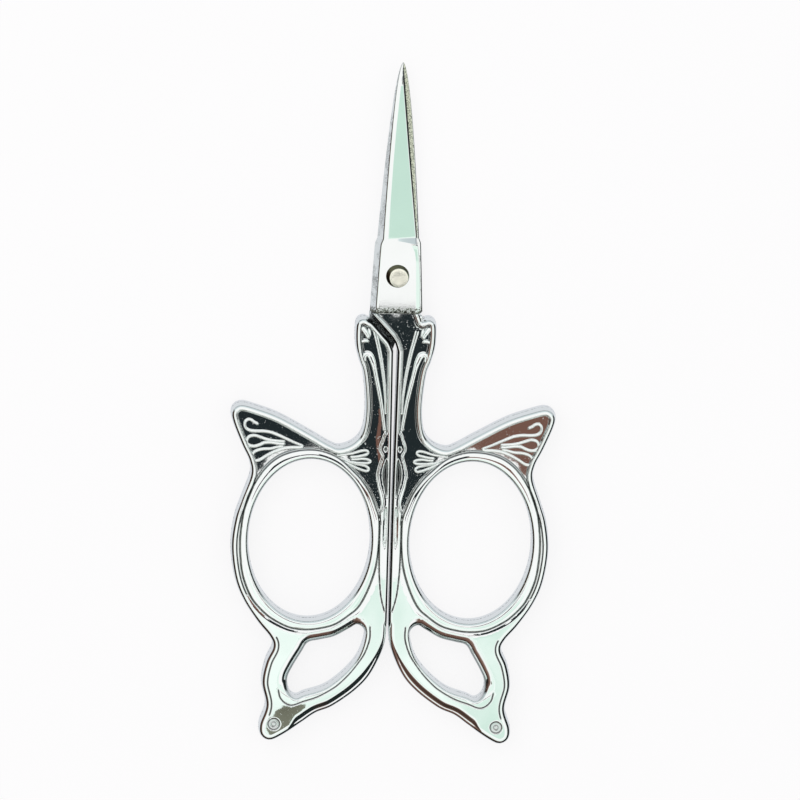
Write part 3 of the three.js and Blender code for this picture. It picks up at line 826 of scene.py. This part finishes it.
def ribPiece(name, turned, tree):
    verts, edges, scales = [], [], []
    foot = casting["floor"] - ribs["sink"]
    for layer, up in (("upper", 1), ("lower", -1)):
        for points, widths in ribRuns(layer):
            run = evenly(splineThrough(points, 8), 0.08)
            share = np.linspace(0, 1, len(run))
            scale = np.interp(share, np.linspace(0, 1, len(widths)), widths)
            scale *= np.sqrt(np.clip(np.minimum(share, 1 - share) * len(run) / 3 + 0.12, 0, 1))
            start = len(verts)
            verts += list(placed(np.column_stack([run, np.full(len(run), up * foot)]), turned))
            edges += [(start + i, start + i + 1) for i in range(len(run) - 1)]
            scales += list(scale)
    piece = meshObject(name, verts, [], None, marks={"ribScale": scales}, edges=edges)
    grown = piece.modifiers.new("ribs", "NODES")
    grown.node_group = tree
    sockets = {s.name: s.identifier for s in tree.interface.items_tree if s.in_out == "INPUT"}
    grown[sockets["Rib width"]] = ribs["width"] * mm
    grown[sockets["Rib height"]] = ribs["height"] * mm
    made = bpy.data.meshes.new_from_object(piece.evaluated_get(bpy.context.evaluated_depsgraph_get()))
    piece.modifiers.clear()
    piece.data = made
    made.polygons.foreach_set("use_smooth", [True] * len(made.polygons))
    # Wide ribs would stand past the rims, so their tops are held down
    at = np.zeros(3 * len(made.vertices))
    made.vertices.foreach_get("co", at)
    at = at.reshape(-1, 3)
    rise = at[:, 2] / mm - rivetPlace[2]
    above = np.maximum(np.abs(rise) - casting["floor"] + ribs["sink"], 0)
    squashed = np.abs(rise) - above + ribs["tallest"] * np.tanh(above / ribs["tallest"])
    at[:, 2] = (rivetPlace[2] + np.sign(rise) * squashed) * mm
    made.vertices.foreach_set("co", at.ravel())
    made.update()
    print("ribs", name, len(made.polygons), "faces")
    return piece


steel = {
    "innerFace": 0.05,
    "thickness": 1.3,
    "heelHeight": 0.12,
    "wallSlope": 30,
    "pointReach": 27.95,
    "edgeReach": 2.44,
    "spineReach": 2.72,
    "spineBow": 0.575,
    "ricassoTop": 4.4,
    "grindStart": 5.2,
    "grindWidth": 3.85,
    "ricassoSpine": [(-4.95, -3.4), (-0.5, -3.2), (3.2, -3.02), (4.25, -2.95), (4.45, -2.75)],
    "ricassoEdge": [(-4.95, 3.05), (-0.5, 2.95), (3.2, 2.65), (4.25, 2.52), (4.45, 2.47)],
    "edgeBevel": [(5, 0.12), (10, 0.17), (16, 0.24), (24, 0.26)],
    "cornerLine": [
        (5.2, -1.41), (10, -1.2), (15, -0.97), (20, -0.66), (23.5, -0.37), (26, -0.15), (27.95, 0),
    ],
    "cornerRound": 0.35,
    "softening": 0.03,
    "chamferLine": [(-4.95, 2.5), (0, 2.36), (2, 2.3), (3.2, 2.1), (4.2, 1.62), (4.45, 1.55)],
    "chamferDrop": 0.3,
    "ricassoRows": [-4.95, -4.9, -4, -3, -2, -1, 0, 1, 2, 2.6, 3.2, 3.7],
    "plungeRows": [  # where the section is taken, the share of the step that is left, and the row's line
        (4.1, None, [(-3, 4.1), (1, 4.0), (2.6, 3.9)]),
        (4.3, None, [(-3, 4.3), (-0.5, 4.28), (1.4, 4.15), (2.6, 4.0)]),
        (4.8, 1.0, [(-2, 4.78), (-0.8, 4.75), (1.4, 4.36), (2.5, 4.12)]),
        (4.8, 0.97, [(-2, 4.8), (-0.8, 4.78), (1.4, 4.4), (2.5, 4.17)]),
        (4.88, 0.06, [(-2, 4.85), (-0.8, 4.87), (2.5, 4.82)]),
        (4.95, 0.02, [(-2, 4.9), (-0.8, 4.92), (2.5, 4.9)]),
        (5.15, 0.0, [(-2, 5.1), (-1.4, 5.12), (2.5, 5.16)]),
    ],
    "pointRows": [27.3, 27.5, 27.65, 27.78, 27.88, 27.95],
    "wornAtRicasso": (0.75, 0.45),  # on the wall, and on the face that meets the other blade
    "wornAtGrind": (0.35, 1.0),
}


# One blade as rows across it. Marks tell the material where the surface is worn
def bladeShell():
    s = steel
    bottom, top = s["innerFace"], s["innerFace"] + s["thickness"]
    heel = np.array((s["edgeReach"], s["ricassoTop"], bottom + s["heelHeight"]))
    point = np.array((0, s["pointReach"], bottom + s["heelHeight"]))
    land = np.array((s["edgeReach"] - s["grindWidth"], s["grindStart"], top))
    normal = np.cross(point - heel, land - heel)
    lean = math.radians(s["wallSlope"])

    def grind(x, y):
        return heel[2] - (normal[0] * (x - heel[0]) + normal[1] * (y - heel[1])) / normal[2]

    def outline(y):
        if y >= 4.45:
            share = max(0.0005, (s["pointReach"] - y) / (s["pointReach"] - s["ricassoTop"]))
            spine, edge = -s["spineReach"] * share ** s["spineBow"], s["edgeReach"] * share + 0.03
        else:
            spine, edge = (np.interp(y, *zip(*s[k])) for k in ("ricassoSpine", "ricassoEdge"))
        corner = np.interp(y, *zip(*s["cornerLine"]))
        return spine, edge, min(s["thickness"], grind(corner, max(y, s["grindStart"])) - bottom)

    # The leaning wall on the spine side and the rounded corner above it
    def spineSide(spine, width, height):
        leanReach = min(height * math.tan(lean), 0.4 * width)
        tilt = math.atan2(leanReach, height)
        radius = min(s["cornerRound"], 0.25 * width, 0.5 * height)
        reach = radius * math.tan((math.pi / 2 - tilt) / 2)
        centre = (spine + leanReach + reach, bottom + height - radius)
        turn = np.linspace(math.pi - tilt, math.pi / 2, 6)
        arc = [(centre[0] + radius * math.cos(t), centre[1] + radius * math.sin(t)) for t in turn]
        wall = [(spine, bottom), (spine + 0.03 * leanReach, bottom + 0.03 * height)]
        return [*wall, *arc, (arc[-1][0] + 0.02 * width, arc[-1][1])]

    def backFace(spine, edge):
        w = edge - spine
        return [(edge - 0.04 * w, bottom), (edge - 0.5 * w, bottom), (spine + 0.04 * w, bottom)]

    def ricassoProfile(y):
        spine, edge, height = outline(y)
        start = np.interp(y, *zip(*s["chamferLine"]))
        near, drop = s["softening"], s["chamferDrop"]
        low = top - drop * (edge - start)
        right = [
            (start - 2 * near, top), (start - near, top), (start + near, top - drop * near),
            (start + 2 * near, top - drop * 2 * near),
            *[(start + (edge - start) * t, top + (low - top) * t) for t in (0.3, 0.5, 0.7)],
            (edge - 0.05, low + 0.02 * drop), (edge - 0.03, low), (edge, low - 0.04), (edge, bottom),
        ]
        return [*spineSide(spine, edge - spine, height), *right, *backFace(spine, edge)]

    def grindProfile(y, level=0.0):
        spine, edge, height = outline(y)
        z = bottom + height
        width = edge - spine
        bevel = min(np.interp(y, *zip(*s["edgeBevel"])), 0.25 * width)
        corner = np.interp(y, *zip(*s["cornerLine"]))
        side = spineSide(spine, width, height)
        near = min(s["softening"], 0.02 * width)
        corner = max(min(corner, edge - bevel - 0.1 * width), side[-1][0] + 0.06 * width)

        def lift(x):
            return min(z, grind(x, y) + (z - grind(x, y)) * level)

        end = edge - bevel
        facet = [corner + near, corner + 2 * near, (corner + edge) / 2, end - 0.02 * width, end]
        high, low = lift(end), bottom + min(0.03, 0.5 * height) + 0.9 * level
        cut = [(edge - bevel * (1 - t), high + (low - high) * t) for t in (0.2, 0.8)]
        land = [(corner - 2 * near, z), (corner - near, z)]
        right = [*land, *[(x, lift(x)) for x in facet], *cut, (edge, low), (edge, bottom)]
        return [*side, *right, *backFace(spine, edge)]

    rows = [[(x, y, z) for x, z in ricassoProfile(y)] for y in s["ricassoRows"]]
    for y, level, run in s["plungeRows"]:
        profile = ricassoProfile(y) if level is None else grindProfile(y, level)
        rows.append([(x, np.interp(x, *zip(*run)), z) for x, z in profile])
    rows += [[(x, y, z) for x, z in grindProfile(y)] for y in (*np.arange(5.4, 27.2, 0.3), *s["pointRows"])]
    n = len(rows[0])
    worn = []
    for row in rows:
        onWall, onInside = s["wornAtRicasso"] if row[0][1] < 4.6 else s["wornAtGrind"]
        worn += [onWall] * 3 + [0.0] * (n - 7) + [onInside] * 4
    verts = [p for row in rows for p in row]
    faces = []
    for r in range(len(rows) - 1):
        for c in range(n):
            d = (c + 1) % n
            faces.append((r * n + c, (r + 1) * n + c, (r + 1) * n + d, r * n + d))
    faces.append(tuple(range(n)))
    faces.append(tuple((len(rows) - 1) * n + c for c in range(n))[::-1])
    return verts, faces, worn


rivetSizes = {
    "pin": 0.9,
    "under": 1.38,
    "head": 1.5,
    "headTop": 1.2,
    "height": 0.42,
    "topShift": (0.19, -0.19),
    "steps": 96,
}


# Peened rivet: a low cone of a head on each side, its top ground a little out of centre
def rivetShell():
    s = rivetSizes
    rim, top = s["under"] + s["height"], s["headTop"]
    side = [
        (0, rim - 0.02), (0.35, rim - 0.015), (0.75, rim - 0.004), (top - 0.1, rim),
        (top - 0.03, rim - 0.008), (top + 0.012, rim - 0.035), (top + 0.05, rim - 0.1),
        (s["head"] - 0.03, s["under"] + 0.08), (s["head"], s["under"] + 0.02), (s["head"] - 0.02, s["under"]),
        (s["pin"], s["under"]),
    ]
    profile = side + [(r, -z) for r, z in side[::-1]]
    verts, faces, n = [], [], s["steps"]
    for r, z in profile:
        ring = ringOf((0, 0), r, n) if r else np.zeros((1, 2))
        share = max(0, (abs(z) - s["under"]) / s["height"])
        verts.append([(x + s["topShift"][0] * share, y + s["topShift"][1] * share, z) for x, y in ring])
    starts = np.concatenate([[0], np.cumsum([len(v) for v in verts])])
    for k in range(len(profile) - 1):
        low, high = starts[k], starts[k + 1]
        for i in range(n):
            j = (i + 1) % n
            if len(verts[k]) == 1:
                faces.append((low, high + i, high + j))
            elif len(verts[k + 1]) == 1:
                faces.append((low + i, high, low + j))
            else:
                faces.append((low + i, high + i, high + j, low + j))
    # The heads' sloping sides get painted shade
    shaded = [1.0 if r > top + 0.02 else 0.0 for (r, z), ring in zip(profile, verts) for p in ring]
    return [p for ring in verts for p in ring], faces, shaded


# In the looks a noise is scale, detail and roughness, and a bump is strength and metres
chromeLook = {
    "colour": (0.9, 0.94, 0.925),
    "palerThan": 0.97,  # the duller patches against it
    "roughness": 0.035,
    "rougher": (0.3, 0.25),  # at the seam, and in the pits
    "tintNoise": (300, 4.0),
    "rippleNoise": (700, 2.0, 0.45),
    "rippleBump": (0.04, 0.0001),
    "pitNoise": (5200, 3.0, 0.6),
    "pitLimits": (0.675, 0.75),
    "pitBump": (0.3, 0.00006),
    "patchNoise": (420, 1.0),  # pits stand in patches
    "patchLimits": (0.45, 0.68),
    "seamBand": [(0.05, 1), (0.22, 0)],  # mm from the seam
    "seamBump": (0.5, 0.0001),
    "seamColour": (0.3, 0.32, 0.33),
    "fleckNoise": (3600, 3.0, 0.7),
    "fleckLimits": (0.5, 0.62),
    # painted shade in grooves and recesses, mixed in by the castings' mark
    "paintedShadeColour": (0.035, 0.04, 0.04),
}

steelLook = {
    "colour": (0.9, 0.94, 0.92),
    "palerThan": 0.95,
    "roughness": 0.045,
    "rougher": (0.05, 0.12),  # in smears, and where it is worn
    "lineNoise": (26000, 2.0, 0.6),
    "lineStretch": (0.05, 1, 1),
    "lineTurn": 0.06,
    "lineBump": (0.02, 0.00002),
    "smearNoise": (260, 3.0),
    "innerColour": (0.64, 0.68, 0.54),
    "wornColour": (0.16, 0.17, 0.14),
    "wornLimits": (0.85, 1.0),
    "gritNoise": (8200, 2.0, 0.6),
    "gritLimits": (0.48, 0.6),
    "smudgeNoise": (650, 2.0),
    "smudgeLimits": (0.42, 0.62),
    "rootArea": (-3.7, -4.95),  # mm from the rivet, where the blade meets the casting
    "rootShare": 0.42,
    "rootNoise": (4200, 3.0, 0.65),
    "rootLimits": (0.74, 0.8),
    "markBump": (0.35, 0.00006),
}

rivetLook = {
    "colour": (0.93, 0.94, 0.8),
    "palerThan": 0.86,
    "roughness": 0.22,
    "rougher": 0.2,
    "mottleNoise": (1500, 4.0, 0.6),
    "mottleLimits": (0.35, 0.65),
    "mottleBump": (0.25, 0.00005),
    # painted shade on the heads' sloping sides
    "paintedSideShade": (0.12, 0.12, 0.075),
}


def newMaterial(name):
    material = bpy.data.materials.new(name)
    material.use_nodes = True
    material.node_tree.nodes.clear()
    return material, material.node_tree


def objectPlace(tree):
    return node(tree, "ShaderNodeTexCoord").outputs["Object"]


def marked(tree, name):
    return node(tree, "ShaderNodeAttribute", {"attribute_name": name}).outputs["Fac"]


# The finish's own colour, with duller patches
def tinted(tree, look, share):
    return mixed(tree, share, tuple(c * look["palerThan"] for c in look["colour"]), look["colour"])


def metal(tree, colour, roughness, normal):
    shader = node(
        tree, "ShaderNodeBsdfPrincipled", Metallic=1.0, Base_Color=colour, Roughness=roughness, Normal=normal,
    )
    node(tree, "ShaderNodeOutputMaterial", Surface=shader.outputs[0])


def chromeMaterial():
    look = chromeLook
    material, tree = newMaterial("castChrome")
    place = objectPlace(tree)
    ripple, pits, patches, flecks, shift = (
        noise(tree, place, *look[k + "Noise"]) for k in ("ripple", "pit", "patch", "fleck", "tint")
    )
    pits, patches = limited(tree, pits, *look["pitLimits"]), limited(tree, patches, *look["patchLimits"])
    pitHere = maths(tree, "MULTIPLY", pits, patches)
    split = node(tree, "ShaderNodeSeparateXYZ", Vector=place)
    fromSeam = maths(tree, "ABSOLUTE", maths(tree, "SUBTRACT", split.outputs["Z"], rivetPlace[2] * mm))
    seamBand = ramp(tree, maths(tree, "MULTIPLY", fromSeam, 1 / mm), look["seamBand"])
    seam = maths(tree, "MULTIPLY", seamBand, limited(tree, flecks, *look["fleckLimits"]))
    dull = mixed(tree, seam, tinted(tree, look, shift), look["seamColour"])
    # Painted shade darkens the grooves, recesses and the walls where the halves cross
    colour = mixed(tree, marked(tree, "paintedShade"), dull, look["paintedShadeColour"])
    atSeam, inPits = look["rougher"]
    rough = maths(tree, "MULTIPLY_ADD", seam, atSeam, look["roughness"])
    rough = maths(tree, "MULTIPLY_ADD", pitHere, inPits, rough)
    wave = bump(tree, ripple, *look["rippleBump"])
    dent = bump(tree, pitHere, *look["pitBump"], Normal=wave)
    metal(tree, colour, rough, bump(tree, seam, *look["seamBump"], Normal=dent))
    return material


def steelMaterial():
    look = steelLook
    material, tree = newMaterial("groundSteel")
    place = objectPlace(tree)
    stretch, turn = look["lineStretch"], (0, 0, look["lineTurn"])
    along = node(tree, "ShaderNodeMapping", Vector=place, Scale=stretch, Rotation=turn)
    lines = noise(tree, along.outputs[0], *look["lineNoise"])
    smears, grit, smudges, rooted = (
        noise(tree, place, *look[k + "Noise"]) for k in ("smear", "grit", "smudge", "root")
    )
    worn = marked(tree, "worn")
    fullyWorn = limited(tree, worn, *look["wornLimits"])
    dulled = mixed(tree, fullyWorn, tinted(tree, look, smears), look["innerColour"])
    grit, smudges = limited(tree, grit, *look["gritLimits"]), limited(tree, smudges, *look["smudgeLimits"])
    speckled, allOver = maths(tree, "MULTIPLY", grit, smudges), maths(tree, "MULTIPLY", grit, fullyWorn)
    wornHere = maths(tree, "MULTIPLY", worn, maths(tree, "MAXIMUM", speckled, allOver))
    split = node(tree, "ShaderNodeSeparateXYZ", Vector=place)
    fromRoot, toRoot = ((rivetPlace[1] + y) * mm for y in look["rootArea"])
    atRoot = node(tree, "ShaderNodeMapRange", Value=split.outputs["Y"], From_Min=fromRoot, From_Max=toRoot)
    rootLevel = maths(tree, "MULTIPLY_ADD", atRoot.outputs[0], look["rootShare"], rooted)
    marks = maths(tree, "MAXIMUM", wornHere, limited(tree, rootLevel, *look["rootLimits"]))
    inSmears, whereWorn = look["rougher"]
    rough = maths(tree, "MULTIPLY_ADD", smears, inSmears, look["roughness"] - inSmears / 2)
    rough = maths(tree, "MULTIPLY_ADD", worn, whereWorn, rough)
    scratch = bump(tree, lines, *look["lineBump"])
    dent = bump(tree, marks, *look["markBump"], Normal=scratch)
    metal(tree, mixed(tree, marks, dulled, look["wornColour"]), rough, dent)
    return material


def rivetMaterial():
    look = rivetLook
    material, tree = newMaterial("rivetMetal")
    mottle = noise(tree, objectPlace(tree), *look["mottleNoise"])
    tint = tinted(tree, look, limited(tree, mottle, *look["mottleLimits"]))
    # Painted shade on the heads' sloping sides
    colour = mixed(tree, marked(tree, "paintedShade"), tint, look["paintedSideShade"])
    rough = maths(tree, "MULTIPLY_ADD", mottle, look["rougher"], look["roughness"] - look["rougher"] / 2)
    metal(tree, colour, rough, bump(tree, mottle, *look["mottleBump"]))
    return material


white, mint = (1.06, 1.035, 1.045), (0.88, 1.01, 0.945)
brown = (0.19, 0.098, 0.077)
studio = {
    "background": (1.0, 0.995, 1.0),
    "skyLevel": 0.82,
    "lampPower": 0.75,
    "lampSize": 0.5,
    "lampPlace": (-220, 260, 520),
    "tableSize": 1.6,
    "cardHeight": 90,
    "tableShades": [(0.3, (0.93, 0.925, 0.93)), (0.7, (0.945, 0.94, 0.945))],
    "tableGlow": 0.82,
    "tableMirrored": [(0.7, (0.74, 0.75, 0.79)), (0.79, (0.02, 0.022, 0.022))],  # by its slant to the ray
    "frontFade": (0.3, 0.5),
    "backFade": (0.3, 0.45),
    # What reflections see, from below (0) to straight above (1)
    "sky": [
        (0.5, (0.012, 0.016, 0.016)), (0.735, (0.018, 0.025, 0.025)), (0.755, white), (0.83, white),
        (0.85, mint), (0.905, mint), (0.935, white),
    ],
    "front": [
        (0.45, (0.012, 0.010, 0.010)), (0.58, (0.02, 0.018, 0.016)), (0.66, (0.10, 0.055, 0.043)),
        (0.74, (0.19, 0.105, 0.083)), (0.785, (0.3, 0.2, 0.165)), (0.805, white), (0.86, mint), (0.905, mint),
        (0.935, white),
    ],
    "back": [
        (0.4, (0.55, 0.58, 0.62)), (0.62, (0.62, 0.68, 0.71)), (0.72, (0.75, 0.83, 0.85)), (0.76, white),
        (0.935, white),
    ],
}


# The camera sees the white background, reflections see the sky above, and all else is lit plainly
def worldSetup():
    world = bpy.data.worlds.new("studio")
    scene.world = world
    world.use_nodes = True
    tree = world.node_tree
    tree.nodes.clear()
    rays = node(tree, "ShaderNodeLightPath")
    split = node(tree, "ShaderNodeSeparateXYZ", Vector=node(tree, "ShaderNodeTexCoord").outputs["Generated"])
    level = maths(tree, "MULTIPLY_ADD", split.outputs["Z"], 0.5, 0.5)
    sky, front, back = (ramp(tree, level, studio[part]) for part in ("sky", "front", "back"))
    towardFront = maths(tree, "MULTIPLY", maths(tree, "ADD", split.outputs["X"], split.outputs["Y"]), -0.7)
    sky = mixed(tree, limited(tree, towardFront, *studio["frontFade"]), sky, front)
    sky = mixed(tree, limited(tree, split.outputs["Y"], *studio["backFade"]), sky, back)
    reflected = node(tree, "ShaderNodeBackground", Color=sky, Strength=1.0)
    plain = node(tree, "ShaderNodeBackground", Color=(1, 1, 1), Strength=studio["skyLevel"])
    seen = node(tree, "ShaderNodeBackground", Color=studio["background"], Strength=1.0)
    lit = shaderByRay(tree, rays.outputs["Is Glossy Ray"], plain, reflected)
    lit = shaderByRay(tree, rays.outputs["Is Camera Ray"], lit, seen)
    node(tree, "ShaderNodeOutputWorld", Surface=lit.outputs[0])


def shining(tree, colour):
    return node(tree, "ShaderNodeEmission", Color=colour, Strength=1.0)


def shaderByRay(tree, share, other, chosen):
    return node(tree, "ShaderNodeMixShader", i0=share, i1=other.outputs[0], i2=chosen.outputs[0])


# One colour, or two that drift into each other
def glow(name, colour):
    material, tree = newMaterial(name)
    if len(colour) == 2:
        cloud = noise(tree, objectPlace(tree), 70.0, 1.0)
        colour = ramp(tree, cloud, [(0.38, colour[0]), (0.62, colour[1])])
    node(tree, "ShaderNodeOutputMaterial", Surface=shining(tree, colour).outputs[0])
    return material


besideRing = [(8.6, -23.1), (6.6, -24.4), (4.8, -26.1), (3.6, -27.4), (2.6, -29), (1.9, -30.9), (1.5, -32.4)]
aboveRing = [(10.6, -23), (12.7, -23.3), (14.7, -24.2), (16.5, -25.8), (18.1, -28.4), (18.4, -29.6)]


def onLeft(points):
    return [(-x, y) for x, y in points[::-1]]


# Cards in the air, each over the outline on the scissors that mirrors it, with its height above them
cards = {
    "darkCard": {
        "outline": [
            (-7, -4.35), (8.6, -4.35), *besideRing, *onLeft(besideRing), *onLeft(aboveRing[::-1]),
            (-24, -29), (-24, -14), (-7, -14),
        ],
        "colour": (0.0175, 0.024, 0.027),
    },
    "brownCard": {
        "outline": [(8.6, -14), (24, -14), (24, -29), *aboveRing[::-1], (8.6, -23.1)],
        "colour": brown,
    },
    "warmStrip": {
        "outline": [
            (-1.98, -19.5), (-1.95, -21.5), (-1.95, -23.5), (-1.85, -24.9), (-1.5, -25.2), (-1.1, -24.4),
            (-1.3, -23.6), (-1.45, -22.3), (-1.5, -20.6), (-1.8, -17.6), (-2.05, -17.6),
        ],
        "colour": brown,
        "height": 14,
    },
    "dimPatch": {
        "outline": [
            (-15.1, -60.3), (-14.4, -58.2), (-12.9, -57.2), (-10.6, -56.9), (-11.4, -58.8), (-12.9, -61.0),
            (-14.3, -61.7),
        ],
        "colour": ((0.13, 0.125, 0.09), (0.42, 0.44, 0.36)),
        "height": 24,
    },
    "mintCard": {
        "outline": [(-26, -40), (26, -40), (26, -66), (-26, -66)],
        "colour": ((0.70, 0.88, 0.79), (1.0, 1.08, 1.04)),
    },
    "facetCard": {
        "outline": [(-3.5, 2), (5, 2), (3, 30), (-2, 30)],
        "colour": (0.63, 0.83, 0.73),
        "normal": (0.299, 0.031, 0.954),  # the ground bevel's
        "level": 0.9,
    },
}


# Placed so that faces of the scissors with the given normal mirror it; only reflections see it
def mirrorCard(name, outline, colour, normal=(0, 0, 1), level=1.55, height=studio["cardHeight"]):
    turn = np.array(normal) / np.linalg.norm(normal)
    corners = []
    for x, y in outline:
        at = np.array((x, y, level)) + rivetPlace
        ray = (at - cameraPlace) / np.linalg.norm(at - cameraPlace)
        away = ray - 2 * ray.dot(turn) * turn
        corners.append((at + away * height / away[2]) * mm)
    card = meshObject(name, corners, [tuple(range(len(corners)))[::-1]], glow(name, colour), False)
    card.visible_camera = card.visible_diffuse = card.visible_shadow = card.visible_transmission = False


def tableSetup():
    material, tree = newMaterial("whiteTable")
    rays = node(tree, "ShaderNodeLightPath")
    grain = noise(tree, objectPlace(tree), 30.0, 3.0)
    paper = node(tree, "ShaderNodeBsdfDiffuse", Color=ramp(tree, grain, studio["tableShades"]))
    partly = shaderByRay(tree, studio["tableGlow"], paper, shining(tree, studio["background"]))
    slant = node(tree, "ShaderNodeLayerWeight", Blend=0.5).outputs["Facing"]
    mirrored = shining(tree, ramp(tree, slant, studio["tableMirrored"]))
    lit = shaderByRay(tree, rays.outputs["Is Camera Ray"], paper, partly)
    lit = shaderByRay(tree, rays.outputs["Is Glossy Ray"], lit, mirrored)
    node(tree, "ShaderNodeOutputMaterial", Surface=lit.outputs[0])
    s = studio["tableSize"]
    corners = [(-s, -s, 0), (s, -s, 0), (s, s, 0), (-s, s, 0)]
    floor = meshObject("table", corners, [(0, 1, 2, 3)], material, False)


def lampSetup():
    data = bpy.data.lights.new("softBox", "AREA")
    data.energy = studio["lampPower"]
    data.size = studio["lampSize"]
    lamp = bpy.data.objects.new("softBox", data)
    scene.collection.objects.link(lamp)
    place = Vector(studio["lampPlace"]) * mm
    lamp.location = place
    lamp.rotation_euler = (-place).to_track_quat("-Z", "Y").to_euler()
    lamp.visible_glossy = False


worldSetup()
tableSetup()
lampSetup()
for name, card in cards.items():
    mirrorCard(name, **card)
print("studio ready")

chrome, groundSteel, rivetMetal = chromeMaterial(), steelMaterial(), rivetMaterial()
castVerts, castFaces, castPaintedShade = castShell()
ribNodes = ribTree(chrome)
pieces = []
for side, turned, body in (("right", False, "upper_half"), ("left", True, "lower_half")):
    verts = placed(castVerts, turned)
    piece = meshObject(side + "Casting", verts, castFaces, chrome, marks={"paintedShade": castPaintedShade})
    pieces.append((piece, body, side + "_handle", "handle_chrome"))
    pieces.append((ribPiece(side + "Ribs", turned, ribNodes), body, None, "handle_chrome"))
bladeVerts, bladeFaces, bladeWorn = bladeShell()
for name, turned, body in (("front", False, "upper_half"), ("back", True, "lower_half")):
    verts = placed(bladeVerts, turned)
    piece = meshObject(name + "Blade", verts, bladeFaces, groundSteel, marks={"worn": bladeWorn})
    pieces.append((piece, body, name + "_blade", "blade_steel"))
rivetVerts, rivetFaces, rivetShade = rivetShell()
piece = meshObject("rivet", placed(rivetVerts, False), rivetFaces, rivetMetal, marks={"paintedShade": rivetShade})
pieces.append((piece, "lower_half", "pivot_rivet", "rivet_metal"))

for piece, body, cadNode, slotName in pieces:
    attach(piece, body)
    if cadNode:
        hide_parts(cadNode)
    print(piece.name, len(piece.data.polygons), "faces on", body)

scene.view_settings.view_transform = "Standard"
print("scene finished")
